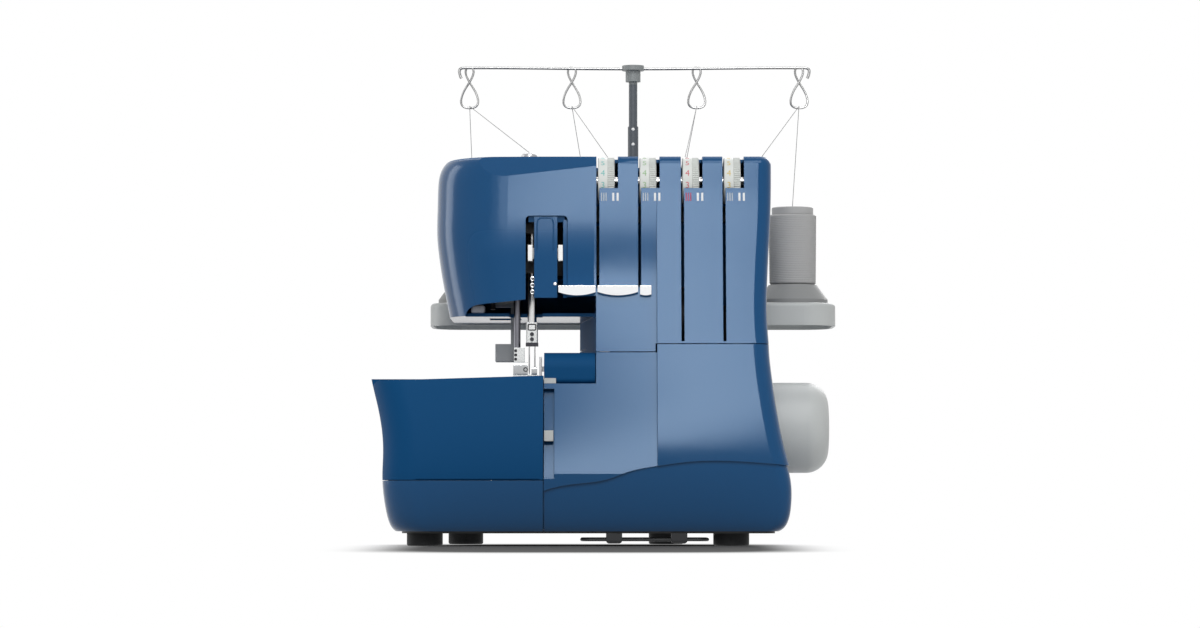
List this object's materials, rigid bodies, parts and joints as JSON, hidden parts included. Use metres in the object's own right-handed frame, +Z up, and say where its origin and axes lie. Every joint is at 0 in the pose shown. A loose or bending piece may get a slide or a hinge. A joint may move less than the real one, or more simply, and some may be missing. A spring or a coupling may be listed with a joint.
{
  "type": "serger overlock machine",
  "caption": "Household overlock sewing machine with tension dials, a hinged looper cover, a free-arm bed, a side handwheel and a telescopic thread stand.",
  "frame": {"origin": "middle of the overall footprint at floor level", "axes": "+Z up, +X to the right as seen from the front, the front faces -Y"},
  "size_m": [0.3584, 0.274, 0.382],
  "materials": {
    "blue_plastic": "satin moulded plastic",
    "grey_plastic": "fine satin moulded plastic",
    "dark_grey_plastic": "satin moulded plastic",
    "pole_grey": "satin moulded plastic",
    "ivory_plastic": "ribbed moulded plastic with printed numbers",
    "white_plastic": "smooth moulded plastic",
    "black_plastic": "moulded plastic",
    "black_rubber": "moulded rubber",
    "black_steel": "black coated steel",
    "cast_alloy": "cast alloy, painted dark",
    "bronze": "sintered bronze",
    "polished_steel": "polished steel",
    "tool_steel": "hardened steel",
    "bright_chrome": "polished chrome",
    "lamp_glass": "frosted lens",
    "grey_thread": "wound spun thread",
    "thread_line": "spun thread"
  },
  "bodies": {
    "machine": {"base_plate": "black_steel", "rubber_feet": "black_rubber", "accessory_rail": "black_steel", "rail_clips": "black_plastic", "main_frame": "cast_alloy", "bronze_bushes": "bronze", "upper_front_cover": "blue_plastic", "upper_rear_cover": "blue_plastic", "lower_front_cover": "blue_plastic", "lower_rear_cover": "blue_plastic", "base_left_cover": "blue_plastic", "cloth_plate": "blue_plastic", "needle_plate": "polished_steel", "knife_housing": "blue_plastic", "motor": "black_steel", "drive_belt": "black_rubber", "tension_axle": "polished_steel", "take_up_cover": "blue_plastic", "chrome_thread_guide": "bright_chrome", "thread_eyelets": "bright_chrome", "lower_knife": "tool_steel", "lamp_lens": "lamp_glass", "cover_stop": "grey_plastic", "power_inlet": "black_plastic", "spool_stand": "grey_plastic", "spool_pins": "black_plastic", "cone_holders": "dark_grey_plastic", "thread_cones": "grey_thread", "pole_lower": "pole_grey", "cover_screws": "polished_steel", "thread_rear_runs": "thread_line", "thread_front_runs": "thread_line"},
    "drive": {"handwheel": "grey_plastic", "main_shaft": "polished_steel", "shaft_pulley": "black_plastic"},
    "motor_drive": {"motor_pulley": "polished_steel"},
    "needle_unit": {"needle_bar": "polished_steel", "needle_clamp": "bright_chrome", "needles": "polished_steel", "clamp_screws": "black_steel"},
    "take_up": {"take_up_lever": "white_plastic"},
    "upper_looper_arm": {"upper_looper": "tool_steel"},
    "lower_looper_arm": {"lower_looper": "tool_steel"},
    "knife": {"upper_knife": "tool_steel"},
    "feed": {"feed_dog": "tool_steel"},
    "presser": {"presser_bar": "polished_steel", "presser_foot": "bright_chrome"},
    "lifter": {"presser_lifter": "grey_plastic"},
    "looper_door": {"looper_cover": "blue_plastic"},
    "catch": {"cover_catch": "grey_plastic"},
    "bed": {"bed_extension": "blue_plastic"},
    "dial_1": {"tension_dial_1": "ivory_plastic"},
    "dial_2": {"tension_dial_2": "ivory_plastic"},
    "dial_3": {"tension_dial_3": "ivory_plastic"},
    "dial_4": {"tension_dial_4": "ivory_plastic"},
    "stitch_dial": {"stitch_length_dial": "grey_plastic"},
    "switch": {"power_switch": "black_plastic"},
    "mast": {"pole_upper": "pole_grey", "thread_guide_bar": "polished_steel"}
  },
  "joints": [
    {"name": "handwheel_turn", "type": "hinge", "parent": "machine", "child": "drive", "pos_m": [0.14, -0.04, 0.0895], "axis": [1, 0, 0], "continuous": true},
    {"name": "motor_turn", "type": "hinge", "parent": "machine", "child": "motor_drive", "pos_m": [0.087, -0.01, 0.172], "axis": [1, 0, 0], "continuous": true},
    {"name": "needle_bar_stroke", "type": "slide", "parent": "machine", "child": "needle_unit", "axis": [0, 0, 1], "range_m": [-0.013, 0.013]},
    {"name": "take_up_stroke", "type": "slide", "parent": "machine", "child": "take_up", "axis": [0, 0, 1], "range_m": [-0.0156, 0.0156]},
    {"name": "upper_looper_swing", "type": "hinge", "parent": "machine", "child": "upper_looper_arm", "pos_m": [-0.06, -0.0825, 0.072], "axis": [0, 1, 0], "range_deg": [-10, 10]},
    {"name": "lower_looper_swing", "type": "hinge", "parent": "machine", "child": "lower_looper_arm", "pos_m": [-0.1, -0.0685, 0.075], "axis": [0, 1, 0], "range_deg": [-10, 10]},
    {"name": "upper_knife_stroke", "type": "slide", "parent": "machine", "child": "knife", "axis": [0, 0, 1], "range_m": [-0.005, 0.005]},
    {"name": "feed_stroke", "type": "slide", "parent": "machine", "child": "feed", "axis": [0, 1, 0], "range_m": [-0.004, 0.004]},
    {"name": "presser_lifter_swing", "type": "hinge", "parent": "machine", "child": "lifter", "pos_m": [-0.08, -0.0425, 0.186], "axis": [1, 0, 0], "range_deg": [0, 40]},
    {"name": "presser_lift", "type": "slide", "parent": "machine", "child": "presser", "axis": [0, 0, 1], "range_m": [0, 0.005]},
    {"name": "looper_cover_open", "type": "hinge", "parent": "machine", "child": "looper_door", "pos_m": [-0.11, -0.136, 0.0502], "axis": [1, 0, 0], "range_deg": [0, 85]},
    {"name": "cover_catch_press", "type": "slide", "parent": "machine", "child": "catch", "axis": [0, 1, 0], "range_m": [0, 0.002], "stiffness_N_per_m": 500, "springref_m": -0.002},
    {"name": "bed_extension_slide", "type": "slide", "parent": "machine", "child": "bed", "axis": [-1, 0, 0], "range_m": [0, 0.11]},
    {"name": "tension_dial_1_turn", "type": "hinge", "parent": "machine", "child": "dial_1", "pos_m": [-0.0027, -0.0816, 0.2757], "axis": [1, 0, 0], "range_deg": [-150, 150]},
    {"name": "tension_dial_2_turn", "type": "hinge", "parent": "machine", "child": "dial_2", "pos_m": [0.0287, -0.0816, 0.2757], "axis": [1, 0, 0], "range_deg": [-150, 150]},
    {"name": "tension_dial_3_turn", "type": "hinge", "parent": "machine", "child": "dial_3", "pos_m": [0.061, -0.0816, 0.2757], "axis": [1, 0, 0], "range_deg": [-150, 150]},
    {"name": "tension_dial_4_turn", "type": "hinge", "parent": "machine", "child": "dial_4", "pos_m": [0.0923, -0.0816, 0.2757], "axis": [1, 0, 0], "range_deg": [-150, 150]},
    {"name": "stitch_length_turn", "type": "hinge", "parent": "machine", "child": "stitch_dial", "pos_m": [0.135, 0.014, 0.0895], "axis": [1, 0, 0], "range_deg": [-140, 140]},
    {"name": "power_switch_rock", "type": "hinge", "parent": "machine", "child": "switch", "pos_m": [0.062, 0.04, 0.038], "axis": [1, 0, 0], "range_deg": [-6, 6]},
    {"name": "mast_slide", "type": "slide", "parent": "machine", "child": "mast", "axis": [0, 0, 1], "range_m": [-0.035, 0], "deforming": ["thread_rear_runs", "thread_front_runs"]}
  ],
  "couplings": [
    {"joint": "motor_turn", "follows": "handwheel_turn", "ratio": 2.8},
    {"joint": "take_up_stroke", "follows": "needle_bar_stroke", "ratio": 1.2},
    {"joint": "upper_looper_swing", "follows": "needle_bar_stroke", "rad_per_m": 13.412},
    {"joint": "lower_looper_swing", "follows": "needle_bar_stroke", "rad_per_m": -13.412},
    {"joint": "upper_knife_stroke", "follows": "needle_bar_stroke", "ratio": 0.3846},
    {"joint": "feed_stroke", "follows": "needle_bar_stroke", "ratio": 0.3076},
    {"joint": "presser_lifter_swing", "follows": "presser_lift", "rad_per_m": 139.6}
  ]
}
